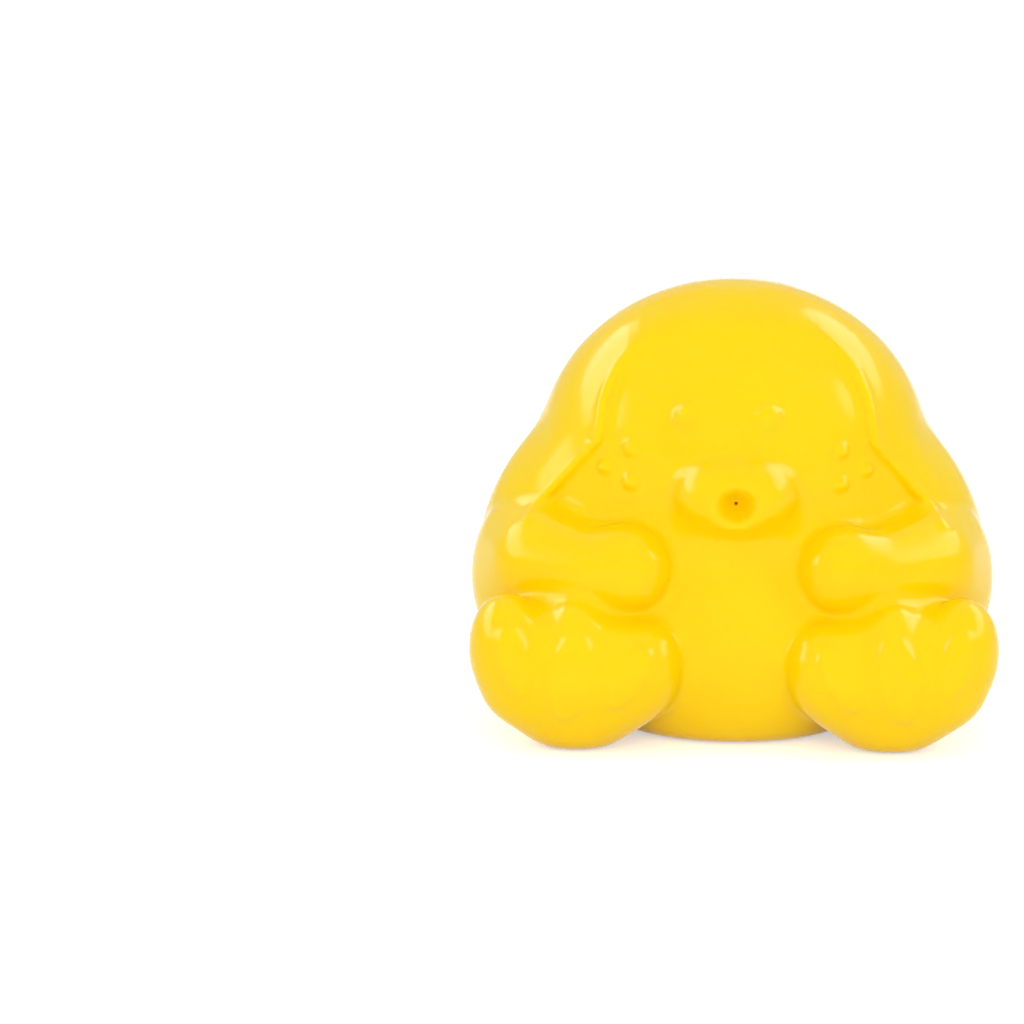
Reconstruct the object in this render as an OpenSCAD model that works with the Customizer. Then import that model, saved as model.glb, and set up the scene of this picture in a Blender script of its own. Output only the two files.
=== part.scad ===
// Seated puppy squeeze toy: one hollow moulded skin with a reed squeaker snapped into its base.
// Millimetres, +Z up, the face looks along -Y, the base stands on Z = 0.

/* [Whole toy] */
// Width across the outer toes
toy_w = 83.2; // [80:0.2:86]
// Depth from the toe pads to the back of the head
toy_d = 61; // [58:0.2:64]
// Height from the base to the crown
toy_h = 70.6; // [68.6:0.2:73]

/* [Head] */
// Width of the hood that the ears and the back of the head form
head_w = 62; // [58:0.5:66]
// Depth of the hood, front to back
head_d = 51; // [47:0.5:55]
// Height of the hood's full oval
head_h = 56; // [53:0.5:60]
// How far the face is let in below the hood at the sides
face_step = 1.2; // [0.6:0.1:1.8]
// How far the face is let in below the hood at the crown
crown_step = 0.3; // [0.2:0.1:0.8]

/* [Face outline] */
// Radius of each of the two arches that the hood makes over the brows
arch_r = 14.8; // [13:0.2:16.6]
// Distance of each arch's centre from the middle
arch_x = 6; // [4.5:0.1:7.5]
// Height of the arches' centres above the head's centre
arch_up = 7.6; // [5.4:0.2:9.4]
// Distance of the cheek corner from the middle
corner_x = 21.2; // [19:0.2:23]
// Height of the cheek corner above the head's centre
corner_up = 5; // [2.4:0.2:6.4]
// Slope of the ear's lower edge, down from the cheek corner
ear_slope = 50; // [42:1:58]

/* [Ears] */
// Distance of the ears' widest place inside the outer toes
ear_in = 0.9; // [0.3:0.1:3]
// How much less deep the ear flare is than the hood, front to back
ear_less = 3.2; // [2:0.2:6]
// Height of the ear flare's full oval
ear_h = 70; // [66:0.5:74]
// Height of the ear flare's centre
ear_z = 24.2; // [22:0.2:27]
// Distance of the haunches' front in front of the spine
haunch_fwd = 7; // [5:0.5:9]
// Height where the ear tips end behind the arms
ear_end_z = 29; // [27:0.5:31]

/* [Torso and belly] */
// Distance of the torso's sides inside the outer toes
torso_in = 4.1; // [2.5:0.1:6.5]
// How much less deep the torso is than the hood
torso_less = 4.5; // [2.5:0.5:6.5]
// Height of the torso's full oval
torso_h = 62; // [58:0.5:66]
// Height of the torso's centre
torso_z = 25; // [23:0.5:27]
// Width of the belly bulge
belly_w = 50; // [44:0.5:56]
// Depth of the belly bulge
belly_d = 39; // [36:0.5:42]
// Height of the belly's full oval
belly_h = 42; // [39:0.5:45]
// Height of the belly's centre
belly_z = 15; // [14:0.5:17]
// Distance of the belly's centre in front of the spine
belly_fwd = 10; // [8.5:0.5:11]

/* [Arms] */
// Distance of the upper arm's centre inside the torso's side
upper_in = 7.2; // [5.4:0.2:9.4]
// Distance of the upper arm's centre in front of the spine
upper_fwd = 5; // [3:0.5:7]
// Width of the upper arm
upper_w = 22.4; // [19:0.2:25]
// Depth of the upper arm
upper_d = 28; // [24:0.5:32]
// Height of the upper arm
upper_h = 30; // [28:0.5:32]
// Height of the upper arm's centre
upper_z = 23.4; // [22:0.2:25]
// Distance of the elbow's centre inside the torso's side
elbow_in = 7.5; // [5.5:0.1:9.5]
// Distance of the elbow's centre in front of the spine
elbow_fwd = 14.4; // [12:0.2:16]
// Height of the elbow's centre
elbow_z = 27.4; // [26:0.2:29]
// Thickness of the elbow
elbow_t = 17; // [15:0.2:19]
// Distance of the wrist's centre inside the torso's side
wrist_in = 15.5; // [13.5:0.1:17.5]
// Distance of the wrist's centre in front of the spine
wrist_fwd = 22.4; // [21:0.2:24]
// Height of the wrist's centre
wrist_z = 27.8; // [26:0.2:30]
// Thickness of the wrist
wrist_t = 12.4; // [11:0.2:14]
// Distance of the paw's centre inside the torso's side
paw_in = 20.5; // [18.9:0.1:22.1]
// Distance of the paw's centre in front of the spine
paw_fwd = 23.6; // [22:0.2:25]
// Height of the paw's centre
paw_z = 28.6; // [27.4:0.2:30]
// Thickness of the paw
paw_t = 14; // [12.4:0.2:15.6]

/* [Feet] */
// Distance of each half of the ball from the foot's centre
ball_spread = 6.4; // [5:0.2:7.8]
// Width of each half of the ball of the foot
ball_w = 18.4; // [16:0.2:21]
// Depth of the ball of the foot
ball_d = 16; // [14.5:0.5:18]
// Height of the ball of the foot
ball_h = 18; // [16.6:0.2:19.4]
// Height of the ball's centre
ball_z = 12.2; // [11.4:0.2:13]
// Width of the heel
heel_w = 21; // [18:0.5:24]
// Depth of the heel
heel_d = 15; // [13.5:0.5:16.5]
// Height of the heel's full oval
heel_h = 15.6; // [14.4:0.2:17]
// Height of the heel's centre
heel_z = 7.2; // [6.8:0.1:7.6]
// Distance of the heel's centre behind the ball's
heel_back = 1.5; // [0.5:0.1:2.5]
// Width of the leg between the haunch and the foot
leg_w = 21; // [18:0.5:24]
// Height of the leg
leg_h = 27; // [25:0.5:28]
// Height of the leg's centre
leg_z = 12.4; // [11.6:0.2:13.2]
// Distance of each end of the leg behind the foot's centre and the haunch's front
leg_back = 5.8; // [5:0.2:7]
// Spacing of the three toes
toe_pitch = 10.4; // [9.6:0.2:11.2]
// Width of a toe
toe_w = 12.8; // [11.6:0.2:14]
// Depth of a toe
toe_d = 15.6; // [14:0.2:16.6]
// Height of the middle and the outer toe
toe_h = 19; // [17.6:0.2:20.4]
// Height of the inner toe
inner_toe_h = 16; // [14.6:0.2:17.4]
// Height of the middle toe's centre
toe_z = 14.9; // [14.1:0.2:15.9]
// How much higher the outer toe sits than the middle one
toe_rise = 0.5; // [0:0.1:1.2]
// How much lower the inner toe sits than the middle one
toe_drop = 1.8; // [1:0.1:2.6]
// Lean of the two side toes
toe_fan = 8; // [0:1:16]

/* [Toe pads] */
// Width of the middle pad
pad_w = 6.6; // [5.4:0.1:7.6]
// Length of the middle pad
pad_l = 14.2; // [12.4:0.2:15.4]
// Width of the two side pads
side_pad_w = 4.8; // [4:0.1:5.6]
// Length of the two side pads
side_pad_l = 11.6; // [9.8:0.2:13]
// Spacing of the pads
pad_pitch = 9; // [8.2:0.1:9.8]
// Distance of the middle pad from the foot's centre, away from the middle line
pad_out = 0.9; // [0:0.1:1.6]
// Lean of the middle pad towards the middle line
pad_lean = 9; // [4:1:14]
// Lean of each side pad against the middle one
pad_fan = 21; // [12:1:30]
// Height of the inner and the middle pad's centres
pad_z = 13.2; // [12.2:0.2:14]
// How much higher the outer pad sits
pad_lift = 2.6; // [1.6:0.2:3.4]
// How far the pads stand off the sole
pad_rise = 0.7; // [0.4:0.1:1.2]

/* [Muzzle, eyes and freckles] */
// Width of the muzzle
muzzle_w = 19; // [16:0.2:22]
// Height of the muzzle
muzzle_h = 12; // [10:0.2:14]
// How far the muzzle stands off the face
muzzle_rise = 6.6; // [5.4:0.1:8]
// Distance of the muzzle's centre below the head's centre
muzzle_drop = 2.2; // [0.6:0.2:4]
// Diameter of an eye
eye_dia = 5.2; // [4.4:0.1:6]
// How far an eye stands off the face
eye_rise = 1; // [0.7:0.1:1.5]
// Distance between the eyes' centres
eye_gap = 12.3; // [10.6:0.1:14]
// Distance of the pair of eyes off the middle line
eye_shift = 1.4; // [0:0.1:2]
// Height of the eyes above the head's centre
eye_up = 9.8; // [8:0.2:11.4]
// Diameter of a freckle
freckle_dia = 2.9; // [2.2:0.1:3.6]
// How far a freckle stands off the cheek
freckle_rise = 1; // [0.6:0.1:1.4]
// Distance of the inner freckles from the middle
freckle_x = 16.6; // [15:0.2:18]
// Height of the middle of the freckles above the head's centre
freckle_up = 1.7; // [0:0.1:3.4]
// Distance of the inner freckles above and below that height
freckle_pitch = 2.6; // [2:0.1:3.2]
// Distance of the outer freckle from the inner ones, sideways
freckle_out = 4; // [3:0.1:4.6]
// Distance of the outer freckle below the middle of the freckles
freckle_sag = 0.7; // [0.2:0.1:1.2]

/* [Skin] */
// Thickness of the moulded skin
wall = 2; // [1.6:0.1:2.4]
// Thickness of the base round the squeaker
base_wall = 3.4; // [3:0.1:4]
// How far the opening of each limb's hollow runs back and inwards into the body's
mouth_run = 10; // [8:0.5:12]

/* [Squirt hole] */
// Distance of the hole below the middle of the muzzle
hole_drop = 0.9; // [0:0.1:1.4]
// Diameter of the rounded rim of the hole
rim_dia = 7; // [6.2:0.1:7.8]
// Depth at which the rim starts, behind the tip of the muzzle
rim_depth = 0.5; // [0.3:0.1:0.8]
// Diameter of the recess behind the rim
recess_dia = 4.9; // [4.2:0.1:5.6]
// Depth of the recess behind the tip of the muzzle
recess_depth = 5; // [4:0.1:6]
// Diameter of the pinhole that squirts
pin_dia = 1.2; // [0.8:0.1:1.6]

/* [Squeaker] */
// Outer diameter of the case's neck
case_dia = 17; // [16:0.1:18]
// Diameter of the case's flange
flange_dia = 22; // [21:0.1:23]
// Thickness of the case's flange and floor
flange_t = 1.2; // [1:0.1:1.4]
// How far the flange lies above the plane of the base
flange_inset = 0.5; // [0.3:0.1:0.7]
// Height of the case from its flange up to its rim
case_h = 17; // [16.4:0.2:19]
// Wall of the case
case_wall = 1.2; // [1:0.1:1.4]
// How far the barb stands out over the neck
barb = 0.7; // [0.4:0.1:0.9]
// Height of the barb's slope
barb_h = 2; // [1.4:0.1:3]
// Outer diameter of the reed socket
socket_dia = 8; // [7.4:0.1:8.6]
// Bore of the reed socket
socket_bore = 5; // [4.8:0.1:5.4]
// Height of the reed socket above the case's floor
socket_h = 4; // [3.6:0.1:4.4]
// Diameter of the vent through the case's floor
vent_dia = 3; // [2.6:0.1:3.4]
// Thickness of the lid's plate
lid_t = 1; // [0.8:0.1:1.3]
// Height of the lid's skirt inside the case
lid_skirt = 2; // [1.4:0.1:2.2]
// Wall of the lid's skirt
skirt_t = 1; // [0.8:0.1:1.2]
// Diameter of each hole in the lid
lid_hole = 2.4; // [2:0.1:2.8]
// Distance of the ring of holes from the lid's middle
lid_ring = 4.2; // [3.8:0.1:4.6]
// Number of holes in the lid's ring
lid_holes = 6; // [4:1:7]

/* [Reed] */
// Free length of the tongue above the socket
reed_l = 8; // [7:0.1:8.4]
// Width of the tongue
reed_w = 3; // [2.6:0.1:3.4]
// Thickness of the tongue
reed_t = 0.2; // [0.16:0.01:0.26]
// Opening between the tongue and the tip of its bed at rest
reed_gap = 0.6; // [0.45:0.05:0.7]
// Length of the bed beyond the tongue's tip
bed_over = 0.6; // [0.3:0.1:0.9]
// Depth of the groove along the bed
groove_d = 1.1; // [0.8:0.1:1.3]
// Width of the groove along the bed
groove_w = 1.6; // [1.2:0.1:2]
// Distance of the groove's end below the tongue's tip
groove_end = 1.2; // [0.8:0.1:1.8]

/* [Clearances] */
// Room between the squeaker and its seat in the skin
seat_fit = 0.1; // [0.06:0.01:0.16]
// Room between the hard pieces of the squeaker
press_fit = 0.04; // [0.02:0.01:0.06]
// Room on each side of the tongue where it is pinched
pinch_room = 0.05; // [0.03:0.01:0.08]
// Room on each side of the tongue at the foot of its root, where it rocks
root_room = 0.34; // [0.3:0.01:0.4]
// Room under the tongue's root
root_lift = 0.3; // [0.2:0.05:0.5]

/* [Hidden] */

// Places that follow from the whole toy's sizes
head_z = toy_h - head_h / 2;
spine_y = (toy_d - head_d) / 2;
foot_x = toy_w / 2 - toe_pitch - toe_w / 2;
foot_y = toy_d / 2 - ball_d / 2 - pad_rise;
ear_w = toy_w - 2 * ear_in;
ear_d = head_d - ear_less;
torso_w = toy_w - 2 * torso_in;
torso_d = head_d - torso_less;
side_x = torso_w / 2;
haunch_y = spine_y - haunch_fwd;
leg_ends = [haunch_y + leg_back, -foot_y + leg_back];

// Heights of the face's features
arch_z = head_z + arch_up;
corner_z = head_z + corner_up;
muzzle_z = head_z - muzzle_drop;
eye_z = head_z + eye_up;
freckle_z = head_z + freckle_up;

// Past the toy on every side, for the blocks that cut it
reach = 2 * toy_w;
// How far a cutter runs past what it cuts
over = 1;

// Facets of the rounded forms
fine = 44;
medium = 30;
small = 16;
inner = 16;

// Half sizes of the rounded forms
head_r = [head_w, head_d, head_h] / 2;
face_r = head_r - [face_step, face_step, crown_step];
ear_r = [ear_w, ear_d, ear_h] / 2;
torso_r = [torso_w, torso_d, torso_h] / 2;
belly_r = [belly_w, belly_d, belly_h] / 2;
upper_r = [upper_w, upper_d, upper_h] / 2;
elbow_r = [elbow_t, elbow_t, elbow_t] / 2;
wrist_r = [wrist_t, wrist_t, wrist_t] / 2;
paw_r = [paw_t, paw_t, paw_t] / 2;
ball_r = [ball_w, ball_d, ball_h] / 2;
heel_r = [heel_w, heel_d, heel_h] / 2;
skin_r = [wall, wall, wall];

// Centres of the rounded forms
head_c = [0, spine_y, head_z];
ear_c = [0, spine_y, ear_z];
torso_c = [0, spine_y, torso_z];
belly_c = [0, spine_y - belly_fwd, belly_z];
upper_c = [side_x - upper_in, spine_y - upper_fwd, upper_z];
elbow_c = [side_x - elbow_in, spine_y - elbow_fwd, elbow_z];
wrist_c = [side_x - wrist_in, spine_y - wrist_fwd, wrist_z];
paw_c = [side_x - paw_in, spine_y - paw_fwd, paw_z];
ball_c = [foot_x, -foot_y, ball_z];
heel_c = [foot_x, -foot_y + heel_back, heel_z];

// Heights of the squeaker, from the plane of the base up
neck_z = flange_inset + flange_t;
lip_z = neck_z + seat_fit;
rim_z = flange_inset + case_h;
floor_z = neck_z;
socket_z = floor_z + socket_h;
tip_z = socket_z + reed_l;
bore_r = case_dia / 2 - case_wall;
rod_r = socket_bore / 2 - press_fit;
pinch_y = reed_t / 2 + pinch_room;
root_y = reed_t / 2 + root_room;

// Depth of an oval form's front at a place on it
function front_y(c, r, x, z) =
    c[1] - r[1] * sqrt(max(0.01, 1 - pow((x - c[0]) / r[0], 2) - pow((z - c[2]) / r[2], 2)));

// An oval ball: half a round outline turned about the upright axis, then stretched
module oval(c, r, facets)
    translate(c)
        scale(r)
            rotate_extrude($fn = facets)
                polygon([for (i = [0:facets / 2]) [sin(360 * i / facets), -cos(360 * i / facets)]]);

// The outline of the face, seen from the front
module face_outline() {
    low_z = ear_end_z - wall;
    low_x = corner_x + (corner_z - low_z) / tan(ear_slope);
    for (s = [-1, 1])
        translate([s * arch_x, arch_z])
            circle(arch_r, $fn = 60);
    polygon([
        [-arch_x - arch_r, arch_z], [-corner_x, corner_z], [-low_x, low_z],
        [low_x, low_z], [corner_x, corner_z], [arch_x + arch_r, arch_z]
    ]);
}

// Everything in front of the spine inside the face outline
module face_window()
    translate([0, spine_y, 0])
        rotate([90, 0, 0])
            linear_extrude(reach)
                face_outline();

// The ears' flare, which has no front below a height and runs on down as the toy's back and haunches
module flare(cut, facets, front, end_z)
    difference() {
        oval(ear_c, ear_r - cut, facets);
        translate([-reach, front - reach, end_z - reach])
            cube([2 * reach, reach, reach]);
    }

// The hood and the ears, open at the face
module hood()
    difference() {
        union() {
            oval(head_c, head_r, fine);
            flare([0, 0, 0], fine, haunch_y, ear_end_z);
        }
        face_window();
    }

// The face and the torso, one smooth drop under the hood
module core(cut, facets)
    hull() {
        oval(head_c, face_r - cut, facets);
        oval(torso_c, torso_r - cut, facets);
    }

// One arm: a full upper arm that bends forward and across the belly to a round paw
module arm(cut, facets) {
    hull() {
        oval(upper_c, upper_r - cut, facets);
        oval(elbow_c, elbow_r - cut, facets);
    }
    hull() {
        oval(elbow_c, elbow_r - cut, facets);
        oval(wrist_c, wrist_r - cut, facets);
    }
    hull() {
        oval(wrist_c, wrist_r - cut, facets);
        oval(paw_c, paw_r - cut, facets);
    }
}

// The opening from a limb's hollow into the body's, half as thick as the wrist's hollow
module mouth(points, cut, facets)
    hull()
        for (c = points, back = [0, 1])
            oval(c + back * [-mouth_run, mouth_run, 0], (wrist_r - cut) / 2, facets);

// The sole, broad at the ball and narrow at the heel that the toy sits on
module sole(cut, facets)
    hull() {
        for (s = [-1, 1])
            oval(ball_c + [s * ball_spread, 0, 0], ball_r - cut, facets);
        oval(heel_c, heel_r - cut, facets);
    }

// The outstretched leg, a short stout bar behind the foot
module leg(cut, facets)
    hull()
        for (y = leg_ends)
            oval([foot_x, y, leg_z], [leg_w, leg_w, leg_h] / 2 - cut, facets);

// One toe of three, run down to the heel: -1 is the inner one, 1 the outer one
module toe(i, cut) {
    size = [toe_w, toe_d, i < 0 ? inner_toe_h : toe_h];
    hull() {
        translate([foot_x + i * toe_pitch, -foot_y, toe_z + (i > 0 ? toe_rise : i * toe_drop)])
            rotate([0, i * toe_fan, 0])
                oval([0, 0, 0], size / 2 - cut, 22);
        oval(heel_c, heel_r - cut, 22);
    }
}

// One raised pad on the sole, under its toe
module pad(i) {
    size = i == 0 ? [pad_w, pad_l] : [side_pad_w, side_pad_l];
    intersection() {
        union() {
            sole(-[pad_rise, pad_rise, pad_rise], medium);
            toe(i, -[pad_rise, pad_rise, pad_rise]);
        }
        translate([foot_x + pad_out + i * pad_pitch, -foot_y, pad_z + max(0, i) * pad_lift])
            rotate([90, i * pad_fan - pad_lean, 0])
                linear_extrude(ball_d)
                    scale(size)
                        circle(d = 1, $fn = small);
    }
}

// One foot with its sole to the front
module foot() {
    sole([0, 0, 0], medium);
    leg([0, 0, 0], 22);
    for (i = [-1:1]) {
        toe(i, [0, 0, 0]);
        pad(i);
    }
}

// An oval bump that stands off the face by its rise
module bump(x, z, w, h, rise, facets)
    oval([x, front_y(head_c, face_r, x, z), z], [w / 2, rise, h / 2], facets);

// The muzzle, eyes and freckles
module features() {
    bump(0, muzzle_z, muzzle_w, muzzle_h, muzzle_rise, medium);
    for (s = [-1, 1]) {
        bump(s * eye_gap / 2 - eye_shift, eye_z, eye_dia, eye_dia, eye_rise, small);
        for (k = [-1, 1])
            bump(s * freckle_x, freckle_z + k * freckle_pitch, freckle_dia, freckle_dia, freckle_rise, 12);
        bump(s * (freckle_x + freckle_out), freckle_z - freckle_sag,
             freckle_dia, freckle_dia, freckle_rise, 12);
    }
}

// The whole figure, solid
module figure() {
    hood();
    core([0, 0, 0], fine);
    oval(belly_c, belly_r, medium);
    features();
    for (s = [0, 1])
        mirror([s, 0, 0]) {
            arm([0, 0, 0], 22);
            foot();
        }
}

// Everything below a height
module below(z)
    translate([-reach, -reach, z - reach])
        cube([2 * reach, 2 * reach, reach]);

// The air space: the same forms, each smaller by the wall, above the base
module air()
    difference() {
        union() {
            core(skin_r, inner);
            flare(skin_r, inner, spine_y + wall, reach);
            oval(belly_c, belly_r - skin_r, inner);
            for (s = [0, 1])
                mirror([s, 0, 0]) {
                    arm(skin_r, 10);
                    mouth([upper_c, elbow_c, wrist_c, paw_c], skin_r, 10);
                    sole(skin_r, 12);
                    leg(skin_r, 12);
                    mouth([for (y = leg_ends) [foot_x, y, leg_z], ball_c - [ball_spread, 0, 0]], skin_r, 10);
                }
        }
        below(base_wall);
    }

// The hole in the mouth: a rounded rim, a tapered recess and the pinhole into the air space
module squirt_hole() {
    rim_r = (rim_dia - recess_dia) / 2;
    inner_y = muzzle_rise + wall + 2 * over;
    translate([0, front_y(head_c, face_r, 0, muzzle_z) - muzzle_rise, muzzle_z - hole_drop])
        rotate([-90, 0, 0])
            rotate_extrude($fn = 36)
                polygon([
                    [0, -over], [rim_dia / 2, -over],
                    for (a = [0:18:90])
                        [recess_dia / 2 + rim_r * (1 - sin(a)), rim_depth + rim_r * (1 - cos(a))],
                    [recess_dia / 2 - 0.3, recess_depth], [pin_dia / 2, recess_depth + 0.5],
                    [pin_dia / 2, inner_y], [0, inner_y]
                ]);
}

// The stepped seat in the base that the squeaker snaps into
module squeaker_seat() {
    translate([0, 0, -over])
        cylinder(d = flange_dia + 2 * seat_fit, h = lip_z + over, $fn = 64);
    cylinder(d = case_dia + 2 * seat_fit, h = base_wall + over, $fn = 64);
}

module body_shell()
    color([1, 0.82, 0.05])
        difference() {
            figure();
            air();
            squirt_hole();
            squeaker_seat();
            below(0);
        }

// Flanged cup with a barb over the lip of the seat, a socket for the reed and a vent
module squeaker_case()
    color([0.93, 0.93, 0.9])
        rotate_extrude($fn = 96)
            polygon([
                [vent_dia / 2, flange_inset], [flange_dia / 2, flange_inset],
                [flange_dia / 2, neck_z], [case_dia / 2, neck_z],
                [case_dia / 2, base_wall + seat_fit], [case_dia / 2 + barb, base_wall + seat_fit],
                [case_dia / 2, base_wall + seat_fit + barb_h], [case_dia / 2, rim_z],
                [bore_r, rim_z], [bore_r, floor_z], [socket_dia / 2, floor_z],
                [socket_dia / 2, socket_z], [socket_bore / 2, socket_z],
                [socket_bore / 2, floor_z], [vent_dia / 2, floor_z]
            ]);

// Drilled guard over the inner end of the case
module squeaker_lid()
    color([0.85, 0.87, 0.9])
        difference() {
            rotate_extrude($fn = 96)
                polygon([
                    [0, rim_z + press_fit], [bore_r - press_fit - skirt_t, rim_z + press_fit],
                    [bore_r - press_fit - skirt_t, rim_z - lid_skirt],
                    [bore_r - press_fit, rim_z - lid_skirt],
                    [bore_r - press_fit, rim_z + press_fit], [case_dia / 2, rim_z + press_fit],
                    [case_dia / 2, rim_z + press_fit + lid_t], [0, rim_z + press_fit + lid_t]
                ]);
            for (k = [0:lid_holes - 1])
                rotate(k * 360 / lid_holes)
                    translate([lid_ring, 0, rim_z - over])
                        cylinder(d = lid_hole, h = lid_t + 3 * over, $fn = 32);
            translate([0, 0, rim_z - over])
                cylinder(d = lid_hole, h = lid_t + 3 * over, $fn = 32);
        }

// A half-round rod between two heights, cut to a side outline given as depth and height
module half_rod(low, high, outline)
    intersection() {
        translate([0, 0, low])
            cylinder(r = rod_r, h = high - low, $fn = 64);
        rotate([90, 0, 90])
            linear_extrude(2 * socket_bore, center = true)
                polygon(outline);
    }

// The reed's bed: grooved along its flat face, which falls away from the tongue towards the tip
module reed_seat() {
    top = tip_z + bed_over;
    low = floor_z + press_fit;
    color([0.9, 0.9, 0.86])
        difference() {
            half_rod(low, top, [
                [root_y, low - over], [root_y, low], [pinch_y, socket_z],
                [pinch_y + reed_gap, tip_z], [pinch_y + reed_gap, top + over],
                [socket_bore, top + over], [socket_bore, low - over]
            ]);
            translate([-groove_w / 2, 0, low - over])
                cube([groove_w, pinch_y + groove_d, tip_z - groove_end - low + over]);
        }
}

// The tongue: a flat strip of film
module reed()
    color([0.75, 0.8, 0.85])
        translate([-reed_w / 2, -reed_t / 2, floor_z + root_lift])
            cube([reed_w, reed_t, tip_z - floor_z - root_lift]);

// The plug that pinches the tongue's root in the socket
module reed_wedge() {
    low = floor_z + press_fit;
    color([0.9, 0.9, 0.86])
        half_rod(low, socket_z, [
            [-root_y, low - over], [-root_y, low], [-pinch_y, socket_z],
            [-pinch_y, socket_z + over], [-socket_bore, socket_z + over], [-socket_bore, low - over]
        ]);
}

body_shell();
squeaker_case();
squeaker_lid();
reed_seat();
reed();
reed_wedge();
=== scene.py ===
from math import cos, exp, pi, radians, sin, sqrt, tan

import bmesh
import bpy
from mathutils import Matrix, Vector


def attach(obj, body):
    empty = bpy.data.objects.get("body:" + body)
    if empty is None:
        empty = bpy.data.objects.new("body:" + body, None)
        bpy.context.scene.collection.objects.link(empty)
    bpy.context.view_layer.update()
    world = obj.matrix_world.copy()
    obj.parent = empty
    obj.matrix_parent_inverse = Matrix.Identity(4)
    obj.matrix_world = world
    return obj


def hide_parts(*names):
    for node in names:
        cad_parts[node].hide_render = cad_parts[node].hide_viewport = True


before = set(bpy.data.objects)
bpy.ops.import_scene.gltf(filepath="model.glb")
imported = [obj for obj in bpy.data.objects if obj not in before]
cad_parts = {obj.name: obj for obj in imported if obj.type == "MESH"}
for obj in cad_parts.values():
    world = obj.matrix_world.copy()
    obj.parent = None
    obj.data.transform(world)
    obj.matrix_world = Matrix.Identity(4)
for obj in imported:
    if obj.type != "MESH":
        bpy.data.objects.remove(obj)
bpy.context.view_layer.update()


# Skin, the soft forms: the torso, belly, arms, legs, feet, muzzle and eyes of a seated puppy.
# The real skin is one hollow casting of soft yellow vinyl, so the forms are overlapped,
# fused on a fine grid and smoothed until they flow into each other.

# Forms are written in millimetres, and MM turns them into metres
MM = 0.001
GRID = 0.42
WALL, BASE_WALL = 2, 3.4


def oval(bm, centre, size, turn=Matrix(), segments=64):
    halves = Matrix.Diagonal((*(Vector(size) * MM / 2), 1))
    place = Matrix.Translation(Vector(centre) * MM) @ turn @ halves
    bmesh.ops.create_uvsphere(bm, u_segments=segments, v_segments=segments // 2, radius=1,
                              matrix=place)


def stretched(bm, *ovals):
    form = bmesh.new()
    for one in ovals:
        oval(form, *one)
    bmesh.ops.delete(form, geom=form.edges[:], context="EDGES_FACES")
    hull = bmesh.ops.convex_hull(form, input=form.verts[:])
    spare = hull["geom_interior"] + hull["geom_unused"]
    inside = {v for v in spare if isinstance(v, bmesh.types.BMVert)}
    bmesh.ops.delete(form, geom=list(inside), context="VERTS")
    mesh = bpy.data.meshes.new("form")
    form.to_mesh(mesh)
    form.free()
    bm.from_mesh(mesh)
    bpy.data.meshes.remove(mesh)


def new_object(name, bm):
    mesh = bpy.data.meshes.new(name)
    bm.to_mesh(mesh)
    bm.free()
    obj = bpy.data.objects.new(name, mesh)
    bpy.context.scene.collection.objects.link(obj)
    return obj


def put_mesh(obj, bm):
    bm.to_mesh(obj.data)
    bm.free()


def discard(*objects):
    for obj in objects:
        mesh = obj.data
        bpy.data.objects.remove(obj)
        bpy.data.meshes.remove(mesh)


def settle(obj):
    made = obj.evaluated_get(bpy.context.evaluated_depsgraph_get())
    mesh = bpy.data.meshes.new_from_object(made)
    obj.modifiers.clear()
    old = obj.data
    obj.data = mesh
    bpy.data.meshes.remove(old)


def fuse(obj, grid, rounds):
    remesh = obj.modifiers.new("fuse", "REMESH")
    remesh.mode = "VOXEL"
    remesh.voxel_size = grid * MM
    smooth = obj.modifiers.new("soften", "SMOOTH")
    smooth.factor = 0.5
    smooth.iterations = rounds
    settle(obj)


def trim(obj, operation, *cutters):
    for cutter in cutters:
        boolean = obj.modifiers.new("trim", "BOOLEAN")
        boolean.operation = operation
        boolean.solver = "EXACT"
        boolean.object = cutter
    settle(obj)


def lift_to(bm, low):
    for v in bm.verts:
        v.co.z = max(v.co.z, low * MM)


def mirrored(point, side):
    return (side * point[0], point[1], point[2])


def grown(size, grow):
    return Vector(size) + Vector((grow, grow, grow)) * 2


HEAD, HEAD_SIZE = (0, 5, 42.6), Vector((62, 51, 56))
FACE_STEP = Vector((2.4, 2.4, 0.6))
FACE_SIZE = HEAD_SIZE - FACE_STEP
TORSO, TORSO_SIZE = (0, 5, 25), (75, 46.5, 62)
BELLY, BELLY_SIZE = (0, -5, 15), (50, 39, 42)
# Upper arm, elbow, wrist and paw: centre and size
ARM = [
    ((30.3, 0, 23.4), (22.4, 28, 30)), ((30, -9.4, 27.4), (17, 17, 17)),
    ((22, -17.4, 27.8), (12.4, 12.4, 12.4)), ((17, -18.6, 28.6), (14, 14, 14)),
]
FOOT_X, FOOT_Y = 24.8, -21.8
BALL_SIZE, BALL_Z, BALL_SPREAD = (18.4, 16, 18), 12.2, 6.4
HEEL_SIZE, HEEL_Z, HEEL_BACK = (21, 15, 15.6), 7.2, 1.5
LEG_SIZE, LEG_Z, LEG_ENDS = (21, 21, 27), 12.4, (3.8, -16)
TOE_PITCH, TOE_FAN = 10.4, radians(8)
# Inner, middle and outer toe: size and height
TOES = {-1: ((12.8, 15.6, 16), 13.1), 0: ((12.8, 15.6, 19), 14.9), 1: ((12.8, 15.6, 19), 15.4)}
MUZZLE_SIZE, MUZZLE_Z = (18.4, 11, 11.8), 40.4
CHIN_SIZE, CHIN_Z = (22, 6, 20), 32
EYE_SIZE, EYE_GAP, EYE_SHIFT, EYE_Z = (4.6, 2.6, 4.6), 12.3, -1.4, 52.4
# Smoothing shrinks a form, so these are drawn larger first
MUZZLE_SWELL, ARM_SWELL, FOOT_SWELL = 0.7, 0.4, 0.3
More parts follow.
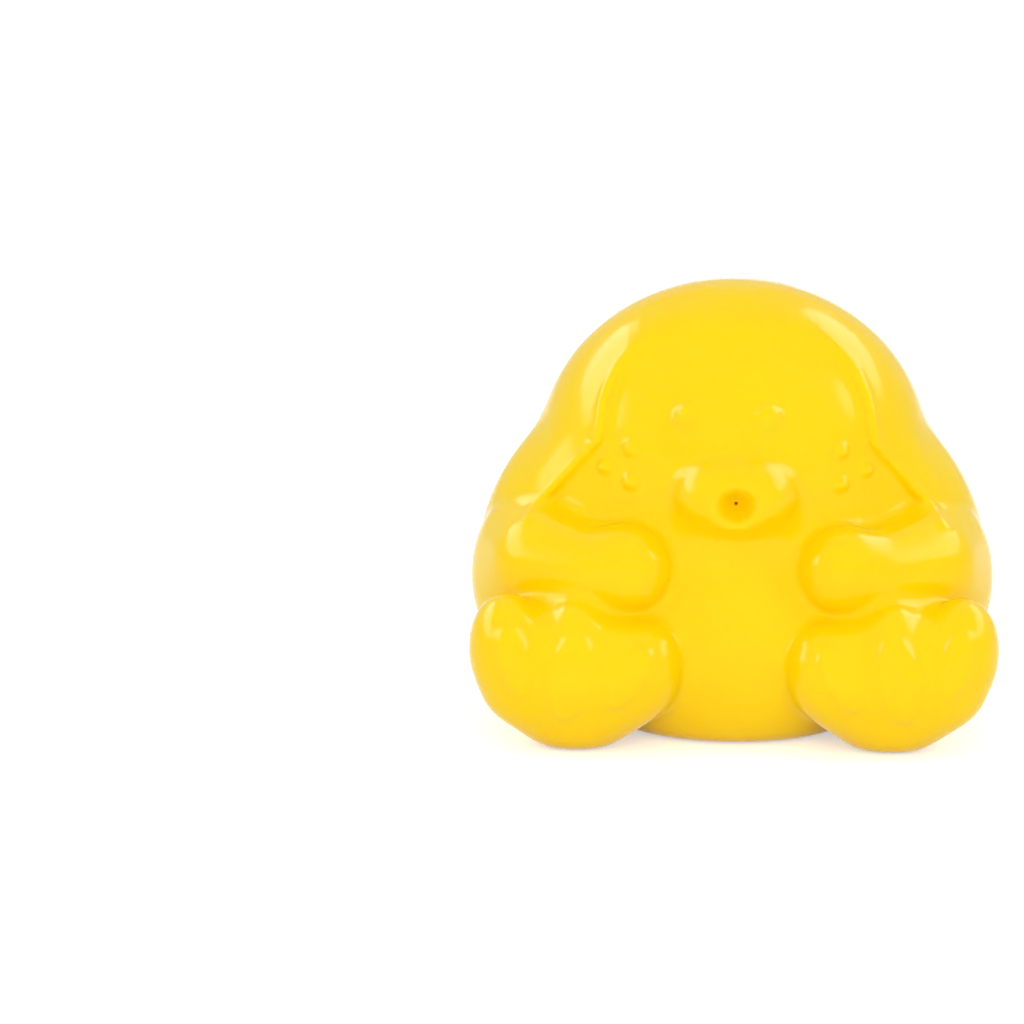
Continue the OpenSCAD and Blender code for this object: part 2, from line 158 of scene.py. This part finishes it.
# Grid and rounds of smoothing
BODY_FUSE, ARMS_FUSE, FEET_FUSE = (0.7, 44), (0.6, 40), (0.6, 30)
SOFT_ROUNDS = 14


def face_y(x, z):
    width, depth, height = FACE_SIZE / 2
    return HEAD[1] - depth * sqrt(1 - (x / width) ** 2 - ((z - HEAD[2]) / height) ** 2)


def trunk(bm, grow=0):
    stretched(bm, (HEAD, grown(FACE_SIZE, grow)), (TORSO, grown(TORSO_SIZE, grow)))
    oval(bm, BELLY, grown(BELLY_SIZE, grow))


def arm(bm, side, grow=0):
    bends = [(mirrored(centre, side), grown(size, grow)) for centre, size in ARM]
    for upper, lower in zip(bends, bends[1:]):
        stretched(bm, upper, lower)


def leg(bm, side, grow=0):
    stretched(bm, *[((side * FOOT_X, y, LEG_Z), grown(LEG_SIZE, grow)) for y in LEG_ENDS])


def foot(bm, side, grow=0):
    heel = ((side * FOOT_X, FOOT_Y + HEEL_BACK, HEEL_Z), grown(HEEL_SIZE, grow))
    balls = [(side * FOOT_X + s * BALL_SPREAD, FOOT_Y, BALL_Z) for s in (-1, 1)]
    stretched(bm, *[(ball, grown(BALL_SIZE, grow)) for ball in balls], heel)
    for i, (size, z) in TOES.items():
        lean = Matrix.Rotation(side * i * TOE_FAN, 4, "Y")
        centre = (side * (FOOT_X + i * TOE_PITCH), FOOT_Y, z)
        stretched(bm, (centre, grown(size, grow), lean), heel)


body, arms, feet = bmesh.new(), bmesh.new(), bmesh.new()
trunk(body)
oval(body, (0, face_y(0, MUZZLE_Z), MUZZLE_Z), grown(MUZZLE_SIZE, MUZZLE_SWELL), segments=96)
oval(body, (0, face_y(0, CHIN_Z), CHIN_Z), CHIN_SIZE)
for side in (-1, 1):
    arm(arms, side, ARM_SWELL)
    leg(feet, side, FOOT_SWELL)
    foot(feet, side, FOOT_SWELL)
for bm in (body, feet):
    lift_to(bm, 0)
body = new_object("body", body)
fuse(body, *BODY_FUSE)
arms = new_object("arms", arms)
fuse(arms, *ARMS_FUSE)
feet = new_object("feet", feet)
fuse(feet, *FEET_FUSE)

# Toe pads: the feet's own surface, raised inside an oval outline for each pad
PAD_PITCH, PAD_OUT, PAD_Z, PAD_LIFT, PAD_RISE = 9, 0.9, 13.2, 2.6, 0.7
PAD_FAN, PAD_LEAN, PAD_REACH = radians(21), radians(9), 20
PAD_SIZES = {-1: (4.8, 11.6), 0: (6.6, 14.2), 1: (4.8, 11.6)}
pads = bmesh.new()
pads.from_mesh(feet.data)
pads.normal_update()
for v in pads.verts:
    v.co += v.normal * PAD_RISE * MM
pads = new_object("pads", pads)
outlines = bmesh.new()
for side in (-1, 1):
    for i, (width, length) in PAD_SIZES.items():
        x = side * (FOOT_X + PAD_OUT + i * PAD_PITCH)
        centre = Vector((x, FOOT_Y - PAD_REACH / 2, PAD_Z + max(0, i) * PAD_LIFT))
        place = Matrix.Translation(centre * MM)
        place = place @ Matrix.Rotation(side * (i * PAD_FAN - PAD_LEAN), 4, "Y")
        place = place @ Matrix.Rotation(pi / 2, 4, "X")
        place = place @ Matrix.Diagonal((width * MM, length * MM, PAD_REACH * MM, 1))
        bmesh.ops.create_cone(outlines, cap_ends=True, segments=48, radius1=0.5, radius2=0.5,
                              depth=1, matrix=place)
outlines = new_object("outlines", outlines)
trim(pads, "INTERSECT", outlines)

soft = bmesh.new()
for piece in (body, arms, feet, pads):
    soft.from_mesh(piece.data)
for side in (-1, 1):
    x = side * EYE_GAP / 2 + EYE_SHIFT
    oval(soft, (x, face_y(x, EYE_Z), EYE_Z), EYE_SIZE)
lift_to(soft, 0)
discard(body, arms, feet, pads, outlines)
skin = new_object("skin", soft)
fuse(skin, GRID, SOFT_ROUNDS)


# Skin, the sharper forms: the hood with its two ears, and the squirt hole's bowl.
# In the mould they are cut into the soft forms, so they are fused on after those are smoothed.

EARS, EARS_SIZE, EAR_END_Z, HAUNCH_Y = (0, 5, 24.2), (81.4, 47.8, 70), 29, -2
ARCH_R, ARCH_X, ARCH_Z = 14.8, 6, 50.2
CORNER_X, CORNER_Z, EAR_SLOPE = 21.2, 47.6, radians(50)
# Top and tip of an ear: the form it lies under and that form's size, x and z, radius, how proud
EAR_BALLS = [(HEAD, HEAD_SIZE, (23, 54), 11, 0), (EARS, EARS_SIZE, (31, 38), 9, 1.2)]
HOOD_SWELL, HOOD_FUSE = 0.4, (0.9, 60)
SHARP_ROUNDS = 5
# Far outside the toy, for cutters, and the metres within which points are welded
REACH, WELD = 160, 1e-7


def prism(outline, y_from, y_to):
    bm = bmesh.new()
    face = bm.faces.new([bm.verts.new((x * MM, y_from * MM, z * MM)) for x, z in outline])
    run = bmesh.ops.extrude_face_region(bm, geom=[face])
    moved = [v for v in run["geom"] if isinstance(v, bmesh.types.BMVert)]
    bmesh.ops.translate(bm, vec=(0, (y_to - y_from) * MM, 0), verts=moved)
    bmesh.ops.recalc_face_normals(bm, faces=bm.faces[:])
    return bm


def round_bar(x, z, radius, y_from, y_to, segments=96):
    bm = bmesh.new()
    place = Matrix.Translation(Vector((x, (y_from + y_to) / 2, z)) * MM)
    place = place @ Matrix.Rotation(pi / 2, 4, "X")
    bmesh.ops.create_cone(bm, cap_ends=True, segments=segments, radius1=radius * MM,
                          radius2=radius * MM, depth=abs(y_to - y_from) * MM, matrix=place)
    return bm


def ball_under(centre, size, at, radius, proud):
    a, b, c = Vector(size) / 2
    x, z = at[0] - centre[0], at[1] - centre[2]
    y = -b * sqrt(1 - (x / a) ** 2 - (z / c) ** 2)
    outwards = Vector((x / a ** 2, y / b ** 2, z / c ** 2)).normalized()
    return Vector(centre) + Vector((x, y, z)) - outwards * (radius - proud)


def turned(profile, base, axis, segments=64):
    bm = bmesh.new()
    axis = Vector(axis)
    points = [Vector(base) + Vector((r, 0, 0)) + axis * along for r, along in profile]
    line = [bm.verts.new(point * MM) for point in points]
    edges = [bm.edges.new(pair) for pair in zip(line, line[1:])]
    bmesh.ops.spin(bm, geom=line + edges, cent=Vector(base) * MM, axis=axis, angle=2 * pi,
                   steps=segments, use_merge=True)
    bmesh.ops.remove_doubles(bm, verts=bm.verts[:], dist=WELD)
    bmesh.ops.recalc_face_normals(bm, faces=bm.faces[:])
    return bm


ear_foot_x = CORNER_X + (CORNER_Z - EAR_END_Z + WALL) / tan(EAR_SLOPE)
cheeks = [
    (-ARCH_X - ARCH_R, ARCH_Z), (-CORNER_X, CORNER_Z), (-ear_foot_x, EAR_END_Z - WALL),
    (ear_foot_x, EAR_END_Z - WALL), (CORNER_X, CORNER_Z), (ARCH_X + ARCH_R, ARCH_Z),
]
window = [new_object("window", prism(cheeks, HEAD[1], -REACH))]
for side in (-1, 1):
    bar = round_bar(side * ARCH_X, ARCH_Z, ARCH_R, HEAD[1], -REACH)
    window.append(new_object("window", bar))
lap = [
    (-REACH, EAR_END_Z - REACH), (REACH, EAR_END_Z - REACH),
    (REACH, EAR_END_Z), (-REACH, EAR_END_Z),
]
lap = new_object("lap", prism(lap, HAUNCH_Y, -REACH))

hood = bmesh.new()
oval(hood, HEAD, grown(HEAD_SIZE, HOOD_SWELL), segments=128)
oval(hood, EARS, grown(EARS_SIZE, HOOD_SWELL), segments=128)
for side in (-1, 1):
    centres = [mirrored(ball_under(*ball), side) for ball in EAR_BALLS]
    sizes = [Vector((2, 2, 2)) * radius for _, _, _, radius, _ in EAR_BALLS]
    stretched(hood, *zip(centres, sizes))
hood = new_object("hood", hood)
fuse(hood, *HOOD_FUSE)
trim(hood, "DIFFERENCE", lap, *window)

# Squirt hole: a round bowl that runs into a funnel, measured from the muzzle's tip
HOLE_Z, BOWL_R, BOWL_DEPTH, BOWL_LEAD = 39.5, 4.2, 2.4, 3
BOWL_STEPS, BOWL_STEP = 10, 6
FUNNEL_R, FUNNEL_DEPTH = 0.6, 4.8
at_mouth = [v.co.y for v in skin.data.vertices
            if abs(v.co.x) < MM and abs(v.co.z - HOLE_Z * MM) < MM]
tip_y = min(at_mouth) / MM
bowl = [(0, -BOWL_LEAD), (BOWL_R, -BOWL_LEAD)]
for k in range(BOWL_STEPS):
    turn = radians(BOWL_STEP * k)
    bowl.append((BOWL_R * cos(turn), BOWL_DEPTH - BOWL_R + BOWL_R * sin(turn)))
bowl += [(FUNNEL_R, FUNNEL_DEPTH), (0, FUNNEL_DEPTH)]
bowl = new_object("bowl", turned(bowl, (0, tip_y, HOLE_Z), (0, 1, 0)))
trim(skin, "DIFFERENCE", bowl)

sharp = bmesh.new()
for piece in (skin, hood):
    sharp.from_mesh(piece.data)
lift_to(sharp, 0)
put_mesh(skin, sharp)
discard(hood, bowl, lap, *window)
fuse(skin, GRID, SHARP_ROUNDS)

# The back and the base are plain, so only their faces are thinned
PLAIN_Y, BASE_Z, MOST_FACES = 4.5, 0.05, 172000
plain = [v.index for v in skin.data.vertices if v.co.y > PLAIN_Y * MM or v.co.z < BASE_Z * MM]
skin.vertex_groups.new(name="plain").add(plain, 1, "REPLACE")
thin = skin.modifiers.new("thin", "DECIMATE")
thin.ratio = min(1, MOST_FACES / (2 * len(skin.data.polygons)))
thin.vertex_group = "plain"
settle(skin)
skin.vertex_groups.clear()


# Skin, the hand-made details of the mould: three freckles on each cheek, two brows with a furrow
# between them and a bead along the ears' edges that fades out over the brows. The hood's edge,
# the mouth, the throat and all creases are softened first, as a modeller's thumb leaves them.

BROW_SIZE, BROW_RISE, BROW_Z, BROWS_X = 3.2, 0.4, 57.2, (-4.6, 5.6)
FURROW_X, FURROW_SIZE, FURROW_DEPTH = 0.5, (1.6, 4.5), 0.25
FRECKLES, FRECKLE_R, FRECKLE_RISE = [(16.6, 46.9), (16.6, 41.7), (20.6, 43.6)], 1.7, 1.1
BEAD_OUT, BEAD_HALF, BEAD_RISE, BEAD_LOW_Z, BEAD_FADE = 0.9, 0.6, 0.4, 34, (14, 22)
# How far softening reaches, and its rounds
CROWN_Z, CROWN_REACH, CROWN_HALVES, CROWN_ROUNDS = 56, 5, (19, 17, 15, 13), 36
EDGE_REACH, EDGE_ROUNDS, BEAD_ROUNDS, BACK_ROUNDS = 1.8, 10, 2, 3
MOUTH_REACH, MOUTH_ROUNDS = 4.8, 3
BLEND_SIZE, BLEND_Z, BLEND_ROUNDS = (13, 10), 38, 50
CREASE, CREASE_PASSES, CREASE_ROUNDS = 0.012, 6, 10


def hump(dx, dz, width, height):
    return exp(-((dx / width) ** 2 + (dz / height) ** 2) / 2)


def dome(dx, dz, radius):
    return max(0, 1 - (dx ** 2 + dz ** 2) / radius ** 2) ** 2


def inside_face(x, z):
    x = abs(x)
    arch = ARCH_R - sqrt((x - ARCH_X) ** 2 + (z - ARCH_Z) ** 2)
    beside = CORNER_X - x if z < ARCH_Z else -REACH
    below = -REACH
    if z < CORNER_Z:
        below = -(x - CORNER_X) * sin(EAR_SLOPE) - (z - CORNER_Z) * cos(EAR_SLOPE)
    return max(arch, beside, below)


def near_mouth(x, z):
    return x ** 2 + (z - HOLE_Z) ** 2 < MOUTH_REACH ** 2


def at_throat(x, z):
    off = (x / BLEND_SIZE[0]) ** 2 + ((z - MUZZLE_Z) / BLEND_SIZE[1]) ** 2
    return z < BLEND_Z and off < 1 and not near_mouth(x, z)


def ramp(value, low, high):
    return min(1, max(0, (value - low) / (high - low)))


def hollow_by(v):
    near = [e.other_vert(v).co for e in v.link_edges]
    return sum((co - v.co).dot(v.normal) for co in near) / len(near) / MM


def soften(bm, verts, rounds):
    for _ in range(rounds):
        bmesh.ops.smooth_vert(bm, verts=verts, factor=0.5,
                              use_axis_x=True, use_axis_y=True, use_axis_z=True)


skin_bm = bmesh.new()
skin_bm.from_mesh(skin.data)
front = [v for v in skin_bm.verts if v.co.y < 0 and v.co.z > BEAD_LOW_Z * MM]
front = [(v, v.co.x / MM, v.co.z / MM) for v in front]
arch = [(v, x) for v, x, z in front if z > CROWN_Z and abs(inside_face(x, z)) < CROWN_REACH]
areas = [([v for v, x in arch if abs(x) < half], CROWN_ROUNDS) for half in CROWN_HALVES]
edge = [v for v, x, z in front if abs(inside_face(x, z)) < EDGE_REACH]
areas.append((edge, EDGE_ROUNDS))
behind = [v for v in skin_bm.verts if v.co.y > PLAIN_Y * MM and v.co.z > MM]
areas.append((behind, BACK_ROUNDS))
areas.append(([v for v, x, z in front if near_mouth(x, z)], MOUTH_ROUNDS))
areas.append(([v for v, x, z in front if at_throat(x, z)], BLEND_ROUNDS))
for verts, rounds in areas:
    soften(skin_bm, verts, rounds)
for _ in range(CREASE_PASSES):
    skin_bm.normal_update()
    creases = {v for v in skin_bm.verts if v.co.z > MM and hollow_by(v) > CREASE}
    creases |= {e.other_vert(v) for v in creases for e in v.link_edges}
    creases = [v for v in creases if not near_mouth(v.co.x / MM, v.co.z / MM)]
    soften(skin_bm, creases, CREASE_ROUNDS)
skin_bm.normal_update()
for v in skin_bm.verts:
    x, y, z = v.co / MM
    rise = 0
    if y < 0:
        rise += BROW_RISE * sum(hump(x - at, z - BROW_Z, BROW_SIZE, BROW_SIZE) for at in BROWS_X)
        rise -= FURROW_DEPTH * hump(x - FURROW_X, z - BROW_Z, *FURROW_SIZE)
        rise += FRECKLE_RISE * sum(dome(abs(x) - at, z - up, FRECKLE_R) for at, up in FRECKLES)
        if z > BEAD_LOW_Z:
            bead = exp(-((inside_face(x, z) + BEAD_OUT) / BEAD_HALF) ** 2)
            rise += BEAD_RISE * bead * ramp(abs(x), *BEAD_FADE)
    v.co += v.normal * rise * MM
soften(skin_bm, edge, BEAD_ROUNDS)
lift_to(skin_bm, 0)


# Skin, the inside: the air space one wall below the forms, the pinhole at the bottom of the mouth,
# and the stepped seat in the base that the squeaker's flange and barb hold on to.

FLANGE_R, FLANGE_SEAT, NECK_R, PAST = 11.1, 1.8, 8.6, 1
SEAT = [
    (0, -PAST), (FLANGE_R, -PAST), (FLANGE_R, FLANGE_SEAT), (NECK_R, FLANGE_SEAT),
    (NECK_R, BASE_WALL + PAST), (0, BASE_WALL + PAST),
]
PIN_R, PIN_RUN = 0.3, 8
AIR_FUSE = (1.6, 4)
air = bmesh.new()
trunk(air, -WALL)
for side in (-1, 1):
    arm(air, side, -WALL)
    leg(air, side, -WALL)
lift_to(air, BASE_WALL)
air = new_object("air", air)
fuse(air, *AIR_FUSE)
hollow = bmesh.new()
hollow.from_mesh(air.data)
bmesh.ops.reverse_faces(hollow, faces=hollow.faces[:])
put_mesh(air, hollow)
skin_bm.from_mesh(air.data)
put_mesh(skin, skin_bm)

pin_end = tip_y + FUNNEL_DEPTH + PIN_RUN
pin = new_object("pin", round_bar(0, HOLE_Z, PIN_R, tip_y + BOWL_DEPTH, pin_end, 32))
seat = new_object("seat", turned(SEAT, (0, 0, 0), (0, 0, 1), 96))
trim(skin, "DIFFERENCE", pin, seat)
discard(air, pin, seat)
skin.data.shade_smooth()


# Skin, the finish: soft vinyl, yellow right through, so light sinks in a little and warms the
# creases. The colour wanders slightly, and the gloss has the fine unevenness of a cast skin.


def principled(name):
    material = bpy.data.materials.new(name)
    material.use_nodes = True
    tree = material.node_tree
    return material, tree.nodes, tree.links, tree.nodes["Principled BSDF"]


def cloudy(nodes, links, scale, low, high, detail=3):
    place = nodes.new("ShaderNodeTexCoord")
    noise = nodes.new("ShaderNodeTexNoise")
    noise.inputs["Scale"].default_value = scale
    noise.inputs["Detail"].default_value = detail
    links.new(place.outputs["Object"], noise.inputs["Vector"])
    spread = nodes.new("ShaderNodeMapRange")
    spread.inputs["From Min"].default_value = 0.3
    spread.inputs["From Max"].default_value = 0.7
    spread.inputs["To Min"].default_value = low
    spread.inputs["To Max"].default_value = high
    links.new(noise.outputs["Fac"], spread.inputs["Value"])
    return spread.outputs["Result"]


def mottled(nodes, links, shader, scale, first, second):
    mix = nodes.new("ShaderNodeMix")
    mix.data_type = "RGBA"
    mix.inputs["A"].default_value = (*first, 1)
    mix.inputs["B"].default_value = (*second, 1)
    links.new(cloudy(nodes, links, scale, 0, 1), mix.inputs["Factor"])
    links.new(mix.outputs["Result"], shader.inputs["Base Color"])


def uneven(nodes, links, shader, scale, height):
    bump = nodes.new("ShaderNodeBump")
    bump.inputs["Strength"].default_value = 1
    bump.inputs["Distance"].default_value = height * MM
    links.new(cloudy(nodes, links, scale, 0, 1), bump.inputs["Height"])
    links.new(bump.outputs["Normal"], shader.inputs["Normal"])


vinyl, nodes, links, shader = principled("soft_vinyl")
mottled(nodes, links, shader, scale=60, first=(1.0, 0.63, 0.001), second=(1.0, 0.66, 0.002))
gloss = cloudy(nodes, links, scale=700, low=0.13, high=0.19)
links.new(gloss, shader.inputs["Roughness"])
uneven(nodes, links, shader, scale=900, height=0.004)
shader.inputs["Specular IOR Level"].default_value = 0.16
shader.inputs["Subsurface Weight"].default_value = 0.6
shader.inputs["Subsurface Radius"].default_value = (1.0, 0.5, 0.05)
shader.inputs["Subsurface Scale"].default_value = 0.0012
skin.data.materials.clear()
skin.data.materials.append(vinyl)
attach(skin, "toy")
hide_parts("body_shell")


# Squeaker: case and lid in natural white polyethylene, waxy and slightly clear, pressed together.
# The bed and the wedge that pinch the reed are ivory styrene, and the reed is a strip of clear
# film. All five keep their own solids and get a finish here.


def dress(node, material):
    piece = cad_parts[node]
    piece.data.materials.clear()
    piece.data.materials.append(material)


polythene, nodes, links, shader = principled("squeaker_plastic")
mottled(nodes, links, shader, scale=250, first=(0.84, 0.84, 0.79), second=(0.88, 0.88, 0.84))
gloss = cloudy(nodes, links, scale=1500, low=0.32, high=0.46)
links.new(gloss, shader.inputs["Roughness"])
uneven(nodes, links, shader, scale=2500, height=0.006)
shader.inputs["Subsurface Weight"].default_value = 0.4
shader.inputs["Subsurface Scale"].default_value = 0.0006
styrene, nodes, links, shader = principled("reed_bed_plastic")
mottled(nodes, links, shader, scale=400, first=(0.78, 0.78, 0.71), second=(0.82, 0.82, 0.76))
gloss = cloudy(nodes, links, scale=2500, low=0.36, high=0.5)
links.new(gloss, shader.inputs["Roughness"])
uneven(nodes, links, shader, scale=4000, height=0.004)
film, nodes, links, shader = principled("reed_film")
mottled(nodes, links, shader, scale=600, first=(0.6, 0.67, 0.73), second=(0.64, 0.7, 0.75))
gloss = cloudy(nodes, links, scale=3000, low=0.05, high=0.12)
links.new(gloss, shader.inputs["Roughness"])
shader.inputs["Transmission Weight"].default_value = 0.6
shader.inputs["IOR"].default_value = 1.58
for node in ("squeaker_case", "squeaker_lid"):
    dress(node, polythene)
for node in ("reed_seat", "reed_wedge"):
    dress(node, styrene)
dress("reed", film)


# Studio: a white table under a white sky, with an even fill from the front that leaves no shine.
# A long softbox behind each side of the toy puts the shine on its ears, arms and toes.

# The table lies a hair below the base, so that the two faces don't coincide
TABLE_HALF, TABLE_DROP, TABLE_GLOW, SKY = 3, 0.0001, 0.5, 0.9
floor = bmesh.new()
bmesh.ops.create_grid(floor, x_segments=1, y_segments=1, size=TABLE_HALF,
                      matrix=Matrix.Translation((0, 0, -TABLE_DROP)))
floor = new_object("floor", floor)
paper, nodes, links, shader = principled("paper")
shader.inputs["Base Color"].default_value = (0.86, 0.86, 0.86, 1)
shader.inputs["Roughness"].default_value = 0.9
shader.inputs["Specular IOR Level"].default_value = 0
seen = nodes.new("ShaderNodeLightPath")
straight = nodes.new("ShaderNodeMath")
straight.operation = "MAXIMUM"
mirror = nodes.new("ShaderNodeMath")
mirror.operation = "MAXIMUM"
glow = nodes.new("ShaderNodeMath")
glow.operation = "MULTIPLY"
glow.inputs[1].default_value = TABLE_GLOW
links.new(seen.outputs["Is Camera Ray"], straight.inputs[0])
links.new(seen.outputs["Is Transmission Ray"], straight.inputs[1])
links.new(straight.outputs[0], mirror.inputs[0])
links.new(seen.outputs["Is Glossy Ray"], mirror.inputs[1])
links.new(mirror.outputs[0], glow.inputs[0])
shader.inputs["Emission Color"].default_value = (1, 1, 1, 1)
links.new(glow.outputs[0], shader.inputs["Emission Strength"])
floor.data.materials.append(paper)

# The toy's middle, in metres as all lamps and the camera are
CENTRE = Vector((0, 0, 0.036))


def softbox(name, place, along, width, height, radiance, glossy=True, diffuse=True):
    lamp = bpy.data.lights.new(name, "AREA")
    lamp.shape = "ELLIPSE"
    lamp.size, lamp.size_y = width, height
    lamp.energy = radiance * pi * width * height * pi / 4
    obj = bpy.data.objects.new(name, lamp)
    bpy.context.scene.collection.objects.link(obj)
    away = (Vector(place) - CENTRE).normalized()
    side = (Vector(along) - away * away.dot(Vector(along))).normalized()
    obj.matrix_world = Matrix((side, away.cross(side), away)).transposed().to_4x4()
    obj.location = place
    obj.visible_glossy = glossy
    obj.visible_diffuse = diffuse


softbox("left_softbox", place=(-0.38, 0.08, 0.265), along=(0.42, 0.78, 0.26),
        width=0.64, height=0.2, radiance=5.4, diffuse=False)
softbox("right_softbox", place=(0.33, 0.09, 0.31), along=(-0.43, 0.71, 0.2),
        width=0.6, height=0.22, radiance=4.4, diffuse=False)
softbox("front_fill", place=(0, -0.9, 0.25), along=(1, 0, 0),
        width=0.8, height=0.8, radiance=2, glossy=False)

sky = bpy.data.worlds.new("sky")
sky.use_nodes = True
sky.node_tree.nodes["Background"].inputs["Color"].default_value = (1, 1, 1, 1)
sky.node_tree.nodes["Background"].inputs["Strength"].default_value = SKY
bpy.context.scene.world = sky


# Camera: a long lens from slightly above, rolled by a hair, as in the photograph.
# The toy's middle lies at the pixel TOY_AT, and PIXEL is a pixel's width in metres there.

AZIMUTH, ELEVATION, ROLL = radians(-1.25), radians(12), radians(0.5)
DISTANCE, PIXEL = 1.2, 0.00016
TOY_AT, PICTURE, SENSOR = (733, 495), 1024, 36

back = Vector((sin(AZIMUTH) * cos(ELEVATION), -cos(AZIMUTH) * cos(ELEVATION), sin(ELEVATION)))
right = Vector((cos(AZIMUTH), sin(AZIMUTH), 0))
up = back.cross(right)
place = CENTRE + back * DISTANCE
off_x, off_y = [(at - PICTURE / 2) * PIXEL for at in TOY_AT]
aim = CENTRE - right * off_x + up * off_y
forward = (aim - place).normalized()
level = forward.cross(Vector((0, 0, 1))).normalized()
across = (level * cos(ROLL) + level.cross(forward) * sin(ROLL)).normalized()
lens = bpy.data.cameras.new("camera")
lens.lens = SENSOR * DISTANCE / (PICTURE * PIXEL)
camera = bpy.data.objects.new("camera", lens)
camera.matrix_world = Matrix((across, across.cross(forward), -forward)).transposed().to_4x4()
camera.location = place
bpy.context.scene.collection.objects.link(camera)
bpy.context.scene.camera = camera
bpy.context.scene.view_settings.view_transform = "Standard"
